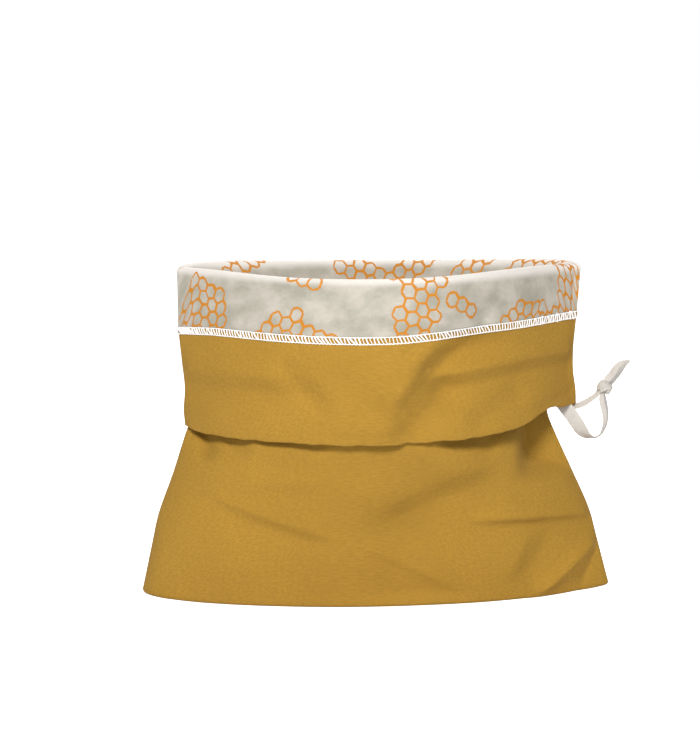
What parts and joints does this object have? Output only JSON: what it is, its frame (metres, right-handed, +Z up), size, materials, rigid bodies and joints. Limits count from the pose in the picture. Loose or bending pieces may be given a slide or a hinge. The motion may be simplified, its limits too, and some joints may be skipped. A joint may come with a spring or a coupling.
{
  "type": "bread bag",
  "caption": "Lined cotton bread bag standing open, its top turned down outside as a deep cuff, with a knotted tape tie at one corner.",
  "frame": {"origin": "on the surface the bag stands on, midway across the whole bag in X and in Y", "axes": "+Z up, the front with the lower base corner folds looks along -Y, +X to the right of someone facing the front, where the tape tie hangs"},
  "size_m": [0.3754, 0.1553, 0.2539],
  "materials": {
    "outer_cloth": "plain-woven mustard cotton, matt",
    "lining": "waxed off-white cotton, slightly mottled, printed with an orange honeycomb",
    "thread": "white overlock thread",
    "tape": "natural cotton twill tape"
  },
  "bodies": {
    "root": {"outer_front": "outer_cloth", "outer_back": "outer_cloth", "lining_front": "lining", "lining_back": "lining", "overlock_seam": "thread", "tie_lower_run": "tape", "tie_upper_run": "tape", "tie_knot": "tape", "tie_tail": "tape"}
  },
  "joints": []
}
